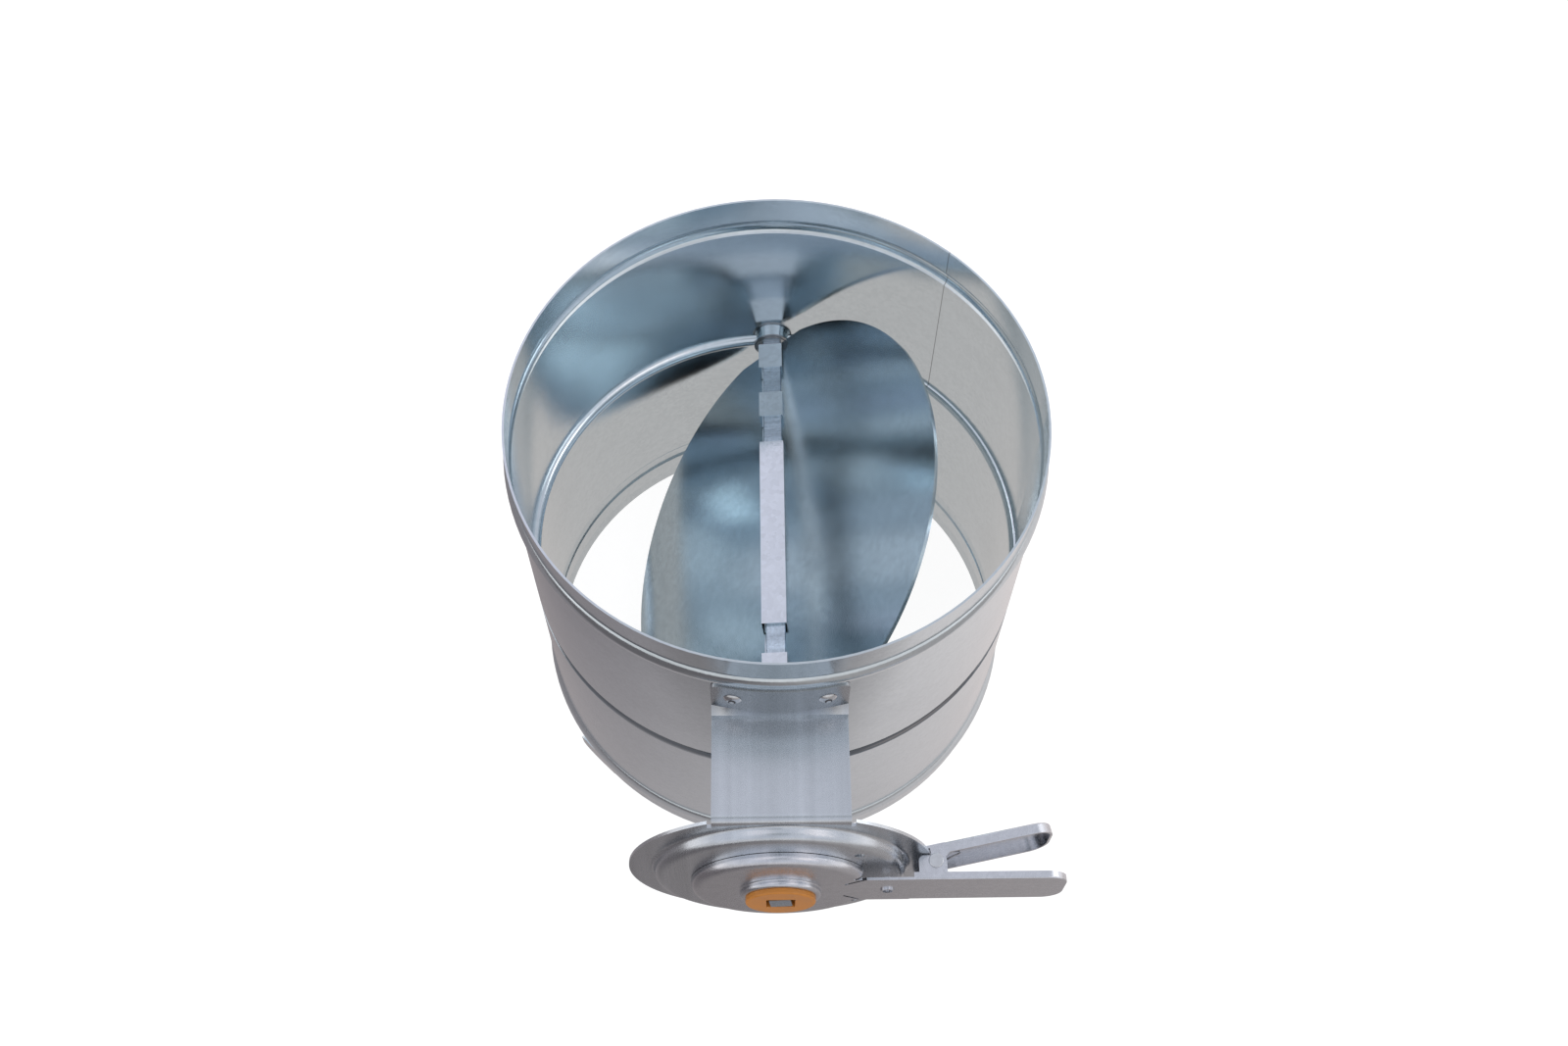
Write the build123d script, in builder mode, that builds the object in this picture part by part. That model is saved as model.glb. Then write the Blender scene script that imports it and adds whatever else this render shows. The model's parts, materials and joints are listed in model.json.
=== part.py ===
from build123d import *
import os
from math import asin, atan2, cos, degrees, hypot, radians, sin, sqrt

# Round volume control damper, standing on its lower spigot.
# The duct runs along Z, the blade shaft along Y, and the handle faces -Y.
# Millimetres and degrees. The blade is drawn half open, as it was set when stored.

# ---------------------------------------------------------------- sizes
# Casing: a rolled sheet sleeve with a spigot at each end
casing_length = 187.0
casing_radius = 99.5            # outside of the spigots
casing_sheet = 0.8
spigot_length = 12.0            # plain end that goes into the duct
stop_bead_width = 8.0           # the bead that the duct's edge stops at
stop_bead_height = 1.6
swage_width = 6.0               # stiffening groove pressed inwards at mid-length
swage_depth = 2.5
lead_in_length = 4.0            # the lower edge is drawn in, to enter the duct
lead_in_depth = 1.2
bearing_collar_length = 2.8     # drawn rim of each shaft hole, inside the wall
bearing_collar_wall = 0.8

# Shaft and its bushes
shaft_height = casing_length / 2
bar_side = 8.0
bar_corner = 0.4
bush_radius = 6.75
bush_flange_radius = 9.5
bush_flange_thickness = 1.2
bush_nose_length = 1.1          # stands out of the collar, inside the duct
bush_clip_radius = 7.9
bush_clip_thickness = 0.7
bush_clip_mouth = 2.4           # gap that lets the clip spring open
bar_rear_end = 1.2              # bar beyond the rear bush

# Blade
blade_gap = 1.6                 # blade's edge to the crest of the swage
blade_sheet = 1.5
blade_angle = 51.0              # from closed, as drawn
blade_end_gap = 2.2             # flat end of the blade to the nose of the bush
strap_pitch = 12.5              # length of one short strap
short_straps = 4                # at each end of the long middle strap
strap_slit = 0.4

# Dial and bracket: one stamping between the casing and the hub
dial_stand_off = 40.2           # casing wall to the face of the dial's rim
dial_radius = 56.0
dial_sheet = 1.2
dial_step_radius = 47.0
dial_step_height = 5.0
dial_step_crown = 3.4           # outer bend, where the raised ring begins
dial_step_foot = 1.6            # inner bend, where the rim begins
dial_bend = 2.0
bracket_width = 48.7
bracket_corner = 3.0
bracket_form_height = 3.0       # where the flat flange is formed to the round wall
bracket_bead_gap = 0.8
relief_width = 1.6
rivet_spacing = 33.0
rivet_radius = 1.6
rivet_head_radius = 3.2
rivet_head_height = 1.2
rivet_shoulder_radius = 2.2     # a point on the dome of the head
rivet_shoulder_height = 0.8
rivet_tail_radius = 2.3
rivet_tail_length = 2.6
lock_hole_radius = 1.8
lock_circle_radius = 39.5
lock_angles = (-45.0, 0.0, 45.0)

# Hub and front lever: one stamping, turned by hand
pan_radius = 33.0
pan_depth = 4.4                 # face of the pan above the dial's raised ring
pan_sheet = 1.0
pan_bend = 3.2
pan_gap = 0.15                  # foot of the pan to the dial
hub_boss_radius = 15.0
hub_boss_height = 2.6
hub_boss_edge = 1.5
hub_boss_foot = 0.4
lever_reach = 105.3             # shaft axis to the lever's tip
lever_width = 25.2
lever_corner = 8.0
lever_flange_start = 48.5
lever_flange_depth = 2.8
lever_edge = 0.7                # rounding along the folded edges
lever_slit_width = 1.3
neck_start = 23.5               # inner end of the slits beside the tongue
neck_end = 31.2                 # where the slits open at the lever's edges
neck_width = 12.6
lock_burr_height = 0.6
lock_burr_wall = 0.8
ear_start = 50.5
ear_length = 10.3
ear_corner = 2.0
ear_rim_gap = 0.4

# Hub bush, with the pieces that hold it on the dial
hub_bush_radius = 9.0
hub_flange_radius = 13.0
hub_flange_thickness = 2.0
hub_hole_height = 9.2           # the bar stands a few degrees askew in this hole
hub_hole_width = 10.6
hub_flange_edge = 0.7
hub_bush_tail = 4.0             # behind the raised ring of the dial
spacer_radius = 13.0
washer_radius = 14.0
washer_thickness = 0.8
clip_radius = 12.4
clip_thickness = 1.0
clip_mouth = 5.0

# Clamp lever, its pivot and its spring
pin_x = 56.8
pin_depth = 2.4                 # pin axis in front of the dial's rim
pin_radius = 1.5
pin_head_radius = 2.7
pin_head_height = 0.7
pin_peen_radius = 1.8
pin_washer_radius = 2.8
pin_washer_thickness = 0.5
clamp_angle = 11.5              # from the front lever, as drawn
clamp_reach = 46.5              # pin axis to the clamp lever's tip
clamp_sheet = 1.0
clamp_flange_depth = 2.9
clamp_corner = 7.5
clamp_lug_radius = 2.5
clamp_lug_length = 5.0
clamp_rim_side = 0.9            # flange on the dial's side of the pin axis
jaw_length = 7.5
jaw_gap = 0.2
spring_wire_radius = 0.3
spring_coil_radius = 1.95       # middle of the wire
spring_whole_turns = 3          # and the part of a turn between the legs
spring_pitch = 0.8
spring_leg = 13.0

# Clearances
running = 0.05                  # radial, between a journal and its hole
seat = 0.05                     # between pieces that lie face to face
side_gap = 0.2                  # between the clamp lever and the ears

# ---------------------------------------------------------------- places worked out
casing_inside = casing_radius - casing_sheet
bar_angle = blade_angle - 45.0
collar_end = casing_inside - bearing_collar_length
blade_radius = casing_inside - swage_depth - blade_gap
blade_end_flat = collar_end - bush_nose_length - blade_end_gap
upper_bead = casing_length - spigot_length - stop_bead_width
swage_start = shaft_height - swage_width / 2
through_wall = casing_radius + swage_width  # reach of a cut from the duct axis out through the wall
bush_flange_face = casing_radius + seat + bush_flange_thickness
dial_face = casing_radius + dial_stand_off
ring_face = dial_face + dial_step_height
pan_face = ring_face + pan_depth
boss_face = pan_face + hub_boss_height
bush_face = boss_face + seat + hub_flange_thickness
bracket_top = shaft_height + sqrt(dial_radius**2 - (bracket_width / 2) ** 2)
bracket_bend_end = bracket_top - dial_bend - dial_sheet
flange_top = casing_length - spigot_length - stop_bead_width - bracket_bead_gap
form_start = bracket_top + dial_bend
rivet_height = (form_start + bracket_form_height + flange_top) / 2
ear_inside = lever_width / 2 - pan_sheet
clamp_half_width = ear_inside - side_gap
pin_y = dial_face + pin_depth
web_distance = (
    pin_depth + dial_sheet + jaw_gap + jaw_length * sin(radians(clamp_angle))
) / cos(radians(clamp_angle))

shaft_axis = Axis((0, 0, shaft_height), (0, 1, 0))
# local x is the radius and local y the distance towards the front
dial_section = Plane(origin=(0, 0, shaft_height), x_dir=(1, 0, 0), z_dir=(0, 0, -1))
blade_x = (cos(radians(blade_angle)), 0, sin(radians(blade_angle)))
blade_z = (-sin(radians(blade_angle)), 0, cos(radians(blade_angle)))
clamp_x = (cos(radians(clamp_angle)), sin(radians(clamp_angle)), 0)
clamp_side = Plane(origin=(pin_x, -pin_y, shaft_height), x_dir=clamp_x, z_dir=(0, 0, 1))


def facing(distance):
    """Plane across the shaft at this distance in front of the duct axis, facing forward."""
    return Plane(origin=(0, -distance, shaft_height), x_dir=(1, 0, 0), z_dir=(0, -1, 0))


def rear_facing(distance):
    """Plane across the shaft at this distance behind the duct axis, facing backward."""
    return Plane(origin=(0, distance, shaft_height), x_dir=(-1, 0, 0), z_dir=(0, 1, 0))


def rivet_outward(side):
    """Direction out of the casing along the rivet on this side, -1 left and 1 right."""
    turn = asin(rivet_spacing / 2 / casing_radius)
    return (side * sin(turn), -cos(turn), 0)


def rivet_facing(side):
    """Plane through the duct axis that faces out along the rivet on this side."""
    return Plane(origin=(0, 0, rivet_height), x_dir=(0, 0, 1), z_dir=rivet_outward(side))


os.makedirs("parts", exist_ok=True)

# ---------------------------------------------------------------- casing
with BuildPart() as casing:
    with BuildSketch(Plane.XZ):
        # the outside, and the inside taken out of it
        for radius, wall_mode in ((casing_radius, Mode.ADD), (casing_inside, Mode.SUBTRACT)):
            with BuildLine():
                lead_in = Line((radius - lead_in_depth, 0), (radius, lead_in_length))
                spigot = Line(lead_in @ 1, (radius, spigot_length))
                lower_stop = ThreePointArc(
                    spigot @ 1,
                    (radius + stop_bead_height, spigot_length + stop_bead_width / 2),
                    (radius, spigot_length + stop_bead_width),
                )
                lower_wall = Line(lower_stop @ 1, (radius, swage_start))
                swage = ThreePointArc(
                    lower_wall @ 1,
                    (radius - swage_depth, shaft_height),
                    (radius, swage_start + swage_width),
                )
                upper_wall = Line(swage @ 1, (radius, upper_bead))
                upper_stop = ThreePointArc(
                    upper_wall @ 1,
                    (radius + stop_bead_height, upper_bead + stop_bead_width / 2),
                    (radius, upper_bead + stop_bead_width),
                )
                Polyline(
                    upper_stop @ 1,
                    (radius, casing_length),
                    (0, casing_length),
                    (0, 0),
                    lead_in @ 0,
                )
            make_face(mode=wall_mode)
    revolve(axis=Axis.Z)
    # each shaft hole has a rim drawn inwards
    for plane in (facing(collar_end), rear_facing(collar_end)):
        with BuildSketch(plane):
            Circle(bush_radius + running + bearing_collar_wall)
        extrude(amount=bearing_collar_length + casing_sheet / 2)
    with BuildSketch(facing(0)):
        Circle(bush_radius + running)
    extrude(amount=through_wall, both=True, mode=Mode.SUBTRACT)
    # rivet holes under the bracket
    for side in (-1, 1):
        with BuildSketch(rivet_facing(side)):
            Circle(rivet_radius + running)
        extrude(amount=through_wall, mode=Mode.SUBTRACT)
casing.part.label = "casing"
export_step(casing.part, "parts/casing.step")

# ---------------------------------------------------------------- shaft
with BuildPart() as square_shaft:
    with BuildSketch(facing(bush_face)):
        Rectangle(bar_side, bar_side, rotation=bar_angle)
    extrude(amount=-(bush_face + bush_flange_face + bar_rear_end))
    chamfer(square_shaft.edges().filter_by(Axis.Y), bar_corner)
square_shaft.part.label = "square_shaft"
export_step(square_shaft.part, "parts/square_shaft.step")

# ---------------------------------------------------------------- shaft bushes
for name, side in (("front", facing), ("rear", rear_facing)):
    # the bar's square, seen from this bush's own side
    square_turn = bar_angle if name == "front" else -bar_angle
    with BuildPart() as bush:
        with BuildSketch(side(collar_end - bush_nose_length)):
            Circle(bush_radius)
        extrude(amount=bush_flange_face - collar_end + bush_nose_length)
        with BuildSketch(side(casing_radius + seat)):
            Circle(bush_flange_radius)
        extrude(amount=bush_flange_thickness)
        with BuildSketch(side(0)):
            Rectangle(bar_side + 2 * seat, bar_side + 2 * seat, rotation=square_turn)
        extrude(amount=through_wall, mode=Mode.SUBTRACT)
    bush.part.label = f"{name}_bush"
    export_step(bush.part, f"parts/{name}_bush.step")

    with BuildPart() as bush_clip:
        with BuildSketch(side(collar_end - seat - bush_clip_thickness)):
            Circle(bush_clip_radius)
            Circle(bush_radius, mode=Mode.SUBTRACT)
            with Locations((0, -bush_clip_radius)):
                Rectangle(bush_clip_mouth, bush_clip_radius, mode=Mode.SUBTRACT)
        extrude(amount=bush_clip_thickness)
    bush_clip.part.label = f"{name}_bush_clip"
    export_step(bush_clip.part, f"parts/{name}_bush_clip.step")

# ---------------------------------------------------------------- blade
# The sheet is slit beside the bar and pressed into straps that pass over and
# under it in turn, so the bar is woven through the blade.
half_diagonal = bar_side / sqrt(2) + seat * sqrt(2)
strap_outside = half_diagonal + blade_sheet * sqrt(2)
strap_foot = strap_outside - blade_sheet / 2
long_strap = blade_end_flat - short_straps * strap_pitch
strap_ends = [-long_strap] + [long_strap + i * strap_pitch for i in range(short_straps + 1)]

with BuildPart() as blade:
    blade_plane = Plane(origin=(0, 0, shaft_height), x_dir=blade_x, z_dir=blade_z)
    with BuildSketch(blade_plane.offset(-blade_sheet / 2)):
        Circle(blade_radius)
        Rectangle(2 * blade_radius, 2 * blade_end_flat, mode=Mode.INTERSECT)
        Rectangle(2 * strap_foot, 2 * blade_radius, mode=Mode.SUBTRACT)
    extrude(amount=blade_sheet)
    for index in range(short_straps + 1):
        over = 1 if index % 2 == 0 else -1
        start, end = strap_ends[index], strap_ends[index + 1]
        mirrored = (start, end) if index == 0 else (-end, -start)
        for near, far in {(start, end), mirrored}:
            strap_plane = Plane(
                origin=(0, far - strap_slit / 2, shaft_height), x_dir=blade_x, z_dir=(0, -1, 0)
            )
            with BuildSketch(strap_plane):
                with BuildLine():
                    Polyline(
                        (-strap_foot, over * blade_sheet / 2),
                        (0, over * strap_outside),
                        (strap_foot, over * blade_sheet / 2),
                        (strap_foot, -over * blade_sheet / 2),
                        (half_diagonal + blade_sheet / 2, -over * blade_sheet / 2),
                        (0, over * half_diagonal),
                        (-half_diagonal - blade_sheet / 2, -over * blade_sheet / 2),
                        (-strap_foot, -over * blade_sheet / 2),
                        close=True,
                    )
                make_face()
            extrude(amount=far - near - strap_slit)
blade.part.label = "blade"
export_step(blade.part, "parts/blade.step")

# ---------------------------------------------------------------- dial and bracket
with BuildPart() as dial_bracket:
    # the stepped dial, spun about the shaft
    with BuildSketch(dial_section) as step_section:
        with BuildLine():
            Polyline(
                (hub_bush_radius + running, ring_face),
                (dial_step_radius - dial_sheet, ring_face),
                (dial_step_radius, dial_face),
                (dial_radius, dial_face),
                (dial_radius, dial_face - dial_sheet),
                (dial_step_radius - dial_sheet, dial_face - dial_sheet),
                (dial_step_radius - 2 * dial_sheet, ring_face - dial_sheet),
                (hub_bush_radius + running, ring_face - dial_sheet),
                close=True,
            )
        make_face()
        step_corners = (
            ((dial_step_radius - dial_sheet, ring_face), dial_step_crown),
            ((dial_step_radius - 2 * dial_sheet, ring_face - dial_sheet), dial_step_crown - dial_sheet),
            ((dial_step_radius, dial_face), dial_step_foot),
            ((dial_step_radius - dial_sheet, dial_face - dial_sheet), dial_step_foot + dial_sheet),
        )
        for corner, bend in step_corners:
            fillet(step_section.vertices().sort_by_distance(corner)[0], bend)
    revolve(axis=shaft_axis)
    # the chord where the bracket is bent back, with a relief notch at each end
    with BuildSketch(facing(dial_face + seat)):
        with Locations((0, bracket_bend_end - shaft_height)):
            Rectangle(
                bracket_width + 2 * relief_width, dial_radius, align=(Align.CENTER, Align.MIN)
            )
        for side in (-1, 1):
            with Locations((side * (bracket_width + relief_width) / 2, bracket_bend_end - shaft_height)):
                Rectangle(relief_width, 2 * relief_width)
    extrude(amount=-(dial_sheet + 2 * seat), mode=Mode.SUBTRACT)
    # bend, top plate and the lower part of the rear flange
    flange_back = casing_radius + seat
    with BuildSketch(Plane.YZ.offset(-bracket_width / 2)):
        with BuildLine():
            Polyline(
                (-flange_back, form_start),
                (-flange_back, bracket_top - dial_sheet),
                (-dial_face + dial_sheet, bracket_top - dial_sheet),
                (-dial_face + dial_sheet, bracket_bend_end),
                (-dial_face, bracket_bend_end),
                (-dial_face, bracket_top),
                (-flange_back - dial_sheet, bracket_top),
                (-flange_back - dial_sheet, form_start),
                close=True,
            )
        side_profile = make_face()
        corners = side_profile.vertices()
        outer_corners = [
            corners.sort_by_distance((-flange_back, bracket_top - dial_sheet))[0],
            corners.sort_by_distance((-dial_face, bracket_top))[0],
        ]
        inner_corners = [
            corners.sort_by_distance((-flange_back - dial_sheet, bracket_top))[0],
            corners.sort_by_distance((-dial_face + dial_sheet, bracket_top - dial_sheet))[0],
        ]
        fillet(outer_corners, dial_bend + dial_sheet - 0.01)
        fillet(inner_corners, dial_bend - 0.01)
    extrude(amount=bracket_width)
    # the flange is formed from flat to the casing's round
    for height in (form_start, form_start + bracket_form_height):
        formed = height > form_start
        with BuildSketch(Plane.XY.offset(height)):
            if formed:
                Circle(flange_back + dial_sheet)
                Circle(flange_back, mode=Mode.SUBTRACT)
                with Locations((0, -flange_back)):
                    Rectangle(bracket_width, flange_back, mode=Mode.INTERSECT)
            else:
                with Locations((0, -flange_back - dial_sheet / 2)):
                    Rectangle(bracket_width, dial_sheet)
    loft(ruled=True)
    formed_back = dial_bracket.faces().sort_by(Axis.Z)[-1]
    extrude(formed_back, amount=flange_top - form_start - bracket_form_height)
    flange_end = dial_bracket.faces().sort_by(Axis.Z)[-1]
    fillet(flange_end.edges().filter_by(Axis.Y), bracket_corner)
    # rivet holes, square to the casing
    for side in (-1, 1):
        with BuildSketch(rivet_facing(side)):
            Circle(rivet_radius + running)
        extrude(amount=through_wall, mode=Mode.SUBTRACT)
    # holes where a screw locks the lever at closed, half and open
    with BuildSketch(facing(ring_face + seat)):
        with Locations([Location((0, 0), angle) for angle in lock_angles]):
            with Locations((lock_circle_radius, 0)):
                Circle(lock_hole_radius)
    extrude(amount=-(dial_sheet + 2 * seat), mode=Mode.SUBTRACT)
dial_bracket.part.label = "dial_bracket"
export_step(dial_bracket.part, "parts/dial_bracket.step")

# ---------------------------------------------------------------- bracket rivets
# Blind rivets: a domed head outside, the swollen tail inside the casing.
rivet_head_back = casing_radius + seat + dial_sheet
with BuildPart() as bracket_rivets:
    for side in (-1, 1):
        outward = rivet_outward(side)
        rivet_plane = Plane(
            origin=(0, 0, rivet_height), x_dir=(0, 0, 1), z_dir=(-outward[1], outward[0], 0)
        )
        # local x is the rivet's radius and local y runs out of the casing
        with BuildSketch(rivet_plane):
            with BuildLine():
                dome = ThreePointArc(
                    (0, rivet_head_back + rivet_head_height),
                    (rivet_shoulder_radius, rivet_head_back + rivet_shoulder_height),
                    (rivet_head_radius, rivet_head_back + seat),
                )
                Polyline(
                    dome @ 1,
                    (rivet_radius, rivet_head_back + seat),
                    (rivet_radius, casing_inside - seat),
                    (rivet_tail_radius, casing_inside - seat - rivet_tail_radius / 2),
                    (rivet_radius, casing_inside - seat - rivet_tail_length),
                    (0, casing_inside - seat - rivet_tail_length),
                    dome @ 0,
                )
            make_face()
        revolve(axis=Axis((0, 0, rivet_height), outward))
bracket_rivets.part.label = "bracket_rivets"
export_step(bracket_rivets.part, "parts/bracket_rivets.step")


def folded_lever(start, flange_start, reach, width, corner, sheet, flange_depth):
    """Sheet lever along local X, its face at z = 0 and its folded edges towards -z."""
    with BuildPart() as lever:
        for inset, mode in ((0, Mode.ADD), (sheet, Mode.SUBTRACT)):
            with BuildSketch(Plane.XY.offset(-inset)) as outline:
                with Locations((flange_start, 0)):
                    Rectangle(
                        reach - flange_start - inset,
                        width - 2 * inset,
                        align=(Align.MIN, Align.CENTER),
                    )
                fillet(outline.vertices().group_by(Axis.X)[-1], corner - inset)
            extrude(amount=-flange_depth, mode=mode)
            if inset == 0:
                face_edges = lever.faces().sort_by(Axis.Z)[-1].edges()
                fillet(face_edges.sort_by(Axis.X)[1:], lever_edge)
        with BuildSketch():
            with Locations((start, 0)):
                Rectangle(flange_start - start, width, align=(Align.MIN, Align.CENTER))
        extrude(amount=-sheet)
    return lever.part


# ---------------------------------------------------------------- hub pan and front lever
with BuildPart() as hub_lever:
    with BuildSketch(dial_section) as pan_section:
        with BuildLine():
            Polyline(
                (hub_bush_radius + seat, boss_face),
                (hub_boss_radius, boss_face),
                (hub_boss_radius, pan_face),
                (pan_radius, pan_face),
                (pan_radius, ring_face + pan_gap),
                (pan_radius - pan_sheet, ring_face + pan_gap),
                (pan_radius - pan_sheet, pan_face - pan_sheet),
                (hub_boss_radius - pan_sheet, pan_face - pan_sheet),
                (hub_boss_radius - pan_sheet, boss_face - pan_sheet),
                (hub_bush_radius + seat, boss_face - pan_sheet),
                close=True,
            )
        make_face()
        pan_corners = (
            ((pan_radius, pan_face), pan_bend),
            ((pan_radius - pan_sheet, pan_face - pan_sheet), pan_bend - pan_sheet),
            ((hub_boss_radius, boss_face), hub_boss_edge),
            ((hub_boss_radius - pan_sheet, boss_face - pan_sheet), hub_boss_edge - pan_sheet),
            ((hub_boss_radius, pan_face), hub_boss_foot),
            ((hub_boss_radius - pan_sheet, pan_face - pan_sheet), hub_boss_foot + pan_sheet),
        )
        for corner, bend in pan_corners:
            fillet(pan_section.vertices().sort_by_distance(corner)[0], bend)
    revolve(axis=shaft_axis)
    # the wall is open where the tongue of the pan runs on as the lever's face
    with BuildSketch(facing(pan_face + seat)):
        Rectangle(
            pan_radius + pan_sheet,
            lever_width + 2 * lever_slit_width,
            align=(Align.MIN, Align.CENTER),
        )
        Circle(pan_radius - pan_bend, mode=Mode.SUBTRACT)
    extrude(amount=-pan_depth, mode=Mode.SUBTRACT)
    add(
        facing(pan_face)
        * folded_lever(
            neck_start,
            lever_flange_start,
            lever_reach,
            lever_width,
            lever_corner,
            pan_sheet,
            lever_flange_depth,
        )
    )
    # slits beside the neck of the tongue
    with BuildSketch(facing(pan_face + seat)):
        for side in (-1, 1):
            with BuildLine():
                Polyline(
                    (neck_end, side * lever_width / 2),
                    (neck_start, side * neck_width / 2),
                    (neck_start, side * (neck_width / 2 + lever_slit_width)),
                    (neck_end, side * (lever_width / 2 + lever_slit_width)),
                    close=True,
                )
            make_face()
    extrude(amount=-2 * pan_sheet, mode=Mode.SUBTRACT)
    # ears for the clamp lever's pivot
    ear_plane = Plane(origin=(0, 0, shaft_height), x_dir=(1, 0, 0), z_dir=(0, 0, 1))
    for side in (-1, 1):
        with BuildSketch(ear_plane.offset(side * (ear_inside + pan_sheet / 2) - pan_sheet / 2)) as ear:
            with Locations((ear_start, -dial_face - ear_rim_gap)):
                Rectangle(
                    ear_length,
                    pan_face - dial_face - ear_rim_gap - lever_flange_depth / 2,
                    align=(Align.MIN, Align.MAX),
                )
            fillet(ear.vertices().group_by(Axis.Y)[-1], ear_corner)
            with Locations((pin_x, -pin_y)):
                Circle(pin_radius + seat, mode=Mode.SUBTRACT)
        extrude(amount=pan_sheet)
    # the hole for a locking screw, with its burr
    with BuildSketch(facing(pan_face - pan_sheet / 2)):
        with Locations((lock_circle_radius, 0)):
            Circle(lock_hole_radius + lock_burr_wall)
    extrude(amount=pan_sheet / 2 + lock_burr_height)
    with BuildSketch(facing(boss_face)):
        with Locations((lock_circle_radius, 0)):
            Circle(lock_hole_radius)
    extrude(amount=-pan_depth - hub_boss_height, mode=Mode.SUBTRACT)
hub_lever.part.label = "hub_lever"
export_step(hub_lever.part, "parts/hub_lever.step")

# ---------------------------------------------------------------- hub bush and its fixings
bush_tail_end = ring_face - dial_sheet - hub_bush_tail
with BuildPart() as hub_bush:
    with BuildSketch(facing(bush_tail_end)):
        Circle(hub_bush_radius)
    extrude(amount=bush_face - bush_tail_end)
    with BuildSketch(facing(boss_face + seat)):
        Circle(hub_flange_radius)
    extrude(amount=hub_flange_thickness)
    fillet(hub_bush.edges().filter_by(GeomType.CIRCLE).sort_by(Axis.Y)[0], hub_flange_edge)
    with BuildSketch(facing(0)):
        Rectangle(hub_hole_width, hub_hole_height)
    extrude(amount=2 * dial_face, mode=Mode.SUBTRACT)
hub_bush.part.label = "hub_bush"
export_step(hub_bush.part, "parts/hub_bush.step")

spacer_back = ring_face + seat
spacer_front = boss_face - pan_sheet - seat
with BuildPart() as hub_spacer:
    with BuildSketch(facing(spacer_back)):
        Circle(spacer_radius)
        Circle(hub_bush_radius + seat, mode=Mode.SUBTRACT)
    extrude(amount=spacer_front - spacer_back)
hub_spacer.part.label = "hub_spacer"
export_step(hub_spacer.part, "parts/hub_spacer.step")

with BuildPart() as hub_washer:
    with BuildSketch(facing(ring_face - dial_sheet - seat - washer_thickness)):
        Circle(washer_radius)
        Circle(hub_bush_radius + seat, mode=Mode.SUBTRACT)
    extrude(amount=washer_thickness)
hub_washer.part.label = "hub_washer"
export_step(hub_washer.part, "parts/hub_washer.step")

with BuildPart() as hub_clip:
    with BuildSketch(facing(ring_face - dial_sheet - 2 * seat - washer_thickness - clip_thickness)):
        Circle(clip_radius)
        Circle(hub_bush_radius, mode=Mode.SUBTRACT)
        with Locations((0, -clip_radius)):
            Rectangle(clip_mouth, clip_radius, mode=Mode.SUBTRACT)
    extrude(amount=clip_thickness)
hub_clip.part.label = "hub_clip"
export_step(hub_clip.part, "parts/hub_clip.step")

# ---------------------------------------------------------------- clamp lever
# A channel whose folded edges face the front lever. Two lugs carry it on the pin,
# and beyond the pin its web grips the dial's rim from behind.
web_back = web_distance + clamp_sheet
web_plane = Plane(
    origin=clamp_side.origin + clamp_side.y_dir * web_back,
    x_dir=clamp_side.x_dir,
    z_dir=clamp_side.y_dir,
)
with BuildPart() as clamp_lever:
    add(
        web_plane
        * folded_lever(
            -jaw_length,
            clamp_lug_length,
            clamp_reach,
            2 * clamp_half_width,
            clamp_corner,
            clamp_sheet,
            clamp_flange_depth + clamp_sheet,
        )
    )
    for side in (-1, 1):
        cheek = side * (clamp_half_width - clamp_sheet / 2) - clamp_sheet / 2
        with BuildSketch(clamp_side.offset(cheek)):
            Circle(clamp_lug_radius)
            with BuildLine():
                Polyline(
                    (-clamp_rim_side, 0),
                    (-clamp_rim_side, web_distance + clamp_sheet / 2),
                    (clamp_lug_length + clamp_sheet, web_distance + clamp_sheet / 2),
                    (clamp_lug_length + clamp_sheet, web_distance - clamp_flange_depth),
                    (clamp_lug_radius, 0),
                    close=True,
                )
            make_face()
            Circle(pin_radius + running, mode=Mode.SUBTRACT)
        extrude(amount=clamp_sheet)
clamp_lever.part.label = "clamp_lever"
export_step(clamp_lever.part, "parts/clamp_lever.step")

# ---------------------------------------------------------------- pivot pin and washer
ear_outside = lever_width / 2 + seat
pin_plane = Plane(origin=(pin_x, -pin_y, shaft_height), x_dir=(1, 0, 0), z_dir=(0, 0, 1))
with BuildPart() as pivot_pin:
    with BuildSketch(pin_plane.offset(-ear_outside - pin_washer_thickness - seat - pin_head_height)):
        Circle(pin_peen_radius)
    extrude(amount=pin_head_height)
    with BuildSketch(pin_plane.offset(-ear_outside - pin_washer_thickness - seat)):
        Circle(pin_radius)
    extrude(amount=2 * ear_outside + pin_washer_thickness + seat)
    with BuildSketch(pin_plane.offset(ear_outside)):
        Circle(pin_head_radius)
    extrude(amount=pin_head_height)
    fillet(pivot_pin.edges().sort_by(Axis.Z)[-1], pin_head_height / 2)
pivot_pin.part.label = "pivot_pin"
export_step(pivot_pin.part, "parts/pivot_pin.step")

with BuildPart() as pin_washer:
    with BuildSketch(pin_plane.offset(-ear_outside - pin_washer_thickness)):
        Circle(pin_washer_radius)
        Circle(pin_radius + seat, mode=Mode.SUBTRACT)
    extrude(amount=pin_washer_thickness)
pin_washer.part.label = "pin_washer"
export_step(pin_washer.part, "parts/pin_washer.step")

# ---------------------------------------------------------------- torsion spring
# Wound on the pin, its two legs push the levers apart and so close the jaw on the rim.


def leg_slope(height):
    """Slope of a leg that leaves the coil as a tangent and ends this far from the pin axis."""
    reach = hypot(spring_coil_radius, spring_leg)
    return degrees(asin(height / reach) - atan2(spring_coil_radius, spring_leg))


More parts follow.
